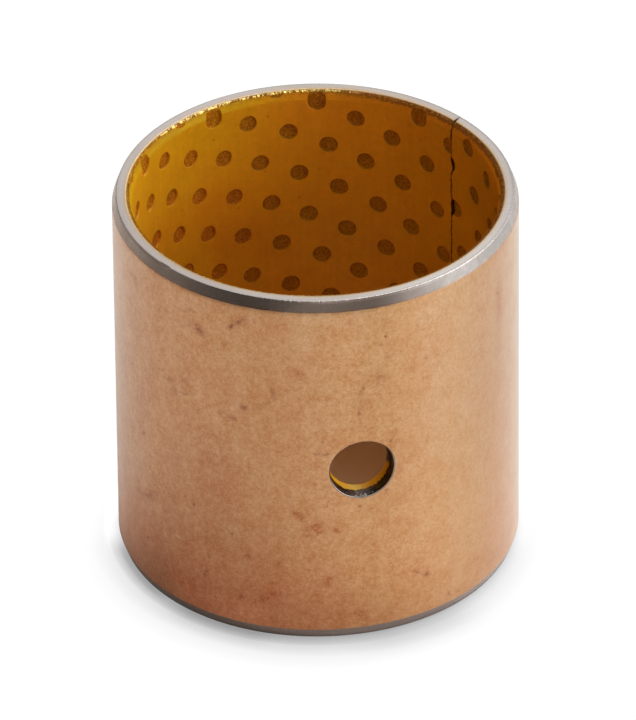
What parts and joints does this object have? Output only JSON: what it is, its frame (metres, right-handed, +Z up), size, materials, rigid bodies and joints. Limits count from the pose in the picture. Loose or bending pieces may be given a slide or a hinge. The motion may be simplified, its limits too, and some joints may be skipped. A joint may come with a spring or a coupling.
{
  "type": "wrapped composite plain bushing",
  "caption": "Split cylindrical sleeve bearing of bonded metal and plastic layers, with chamfered ends, a butt seam, a radial oil hole and rows of round grease pockets in the bore.",
  "frame": {"origin": "centre of the bottom end face, on the bore axis, at the level the bushing stands on", "axes": "+Z up along the bore axis; the oil hole opens outward at 12.6 degrees from -Y towards +X, and the seam lies at about 132 degrees round from -Y"},
  "size_m": [0.05, 0.05, 0.0498],
  "materials": {
    "steel_backing": "thin dull copper flash on the outside wall; bare matt steel on the end faces, chamfers, seam and oil hole",
    "bronze_interlayer": "sintered granular bronze, glittering where it is cut",
    "acetal_lining": "satin amber moulded plastic"
  },
  "bodies": {
    "root": {"steel_backing": "steel_backing", "bronze_interlayer": "bronze_interlayer", "acetal_lining": "acetal_lining"}
  },
  "joints": []
}
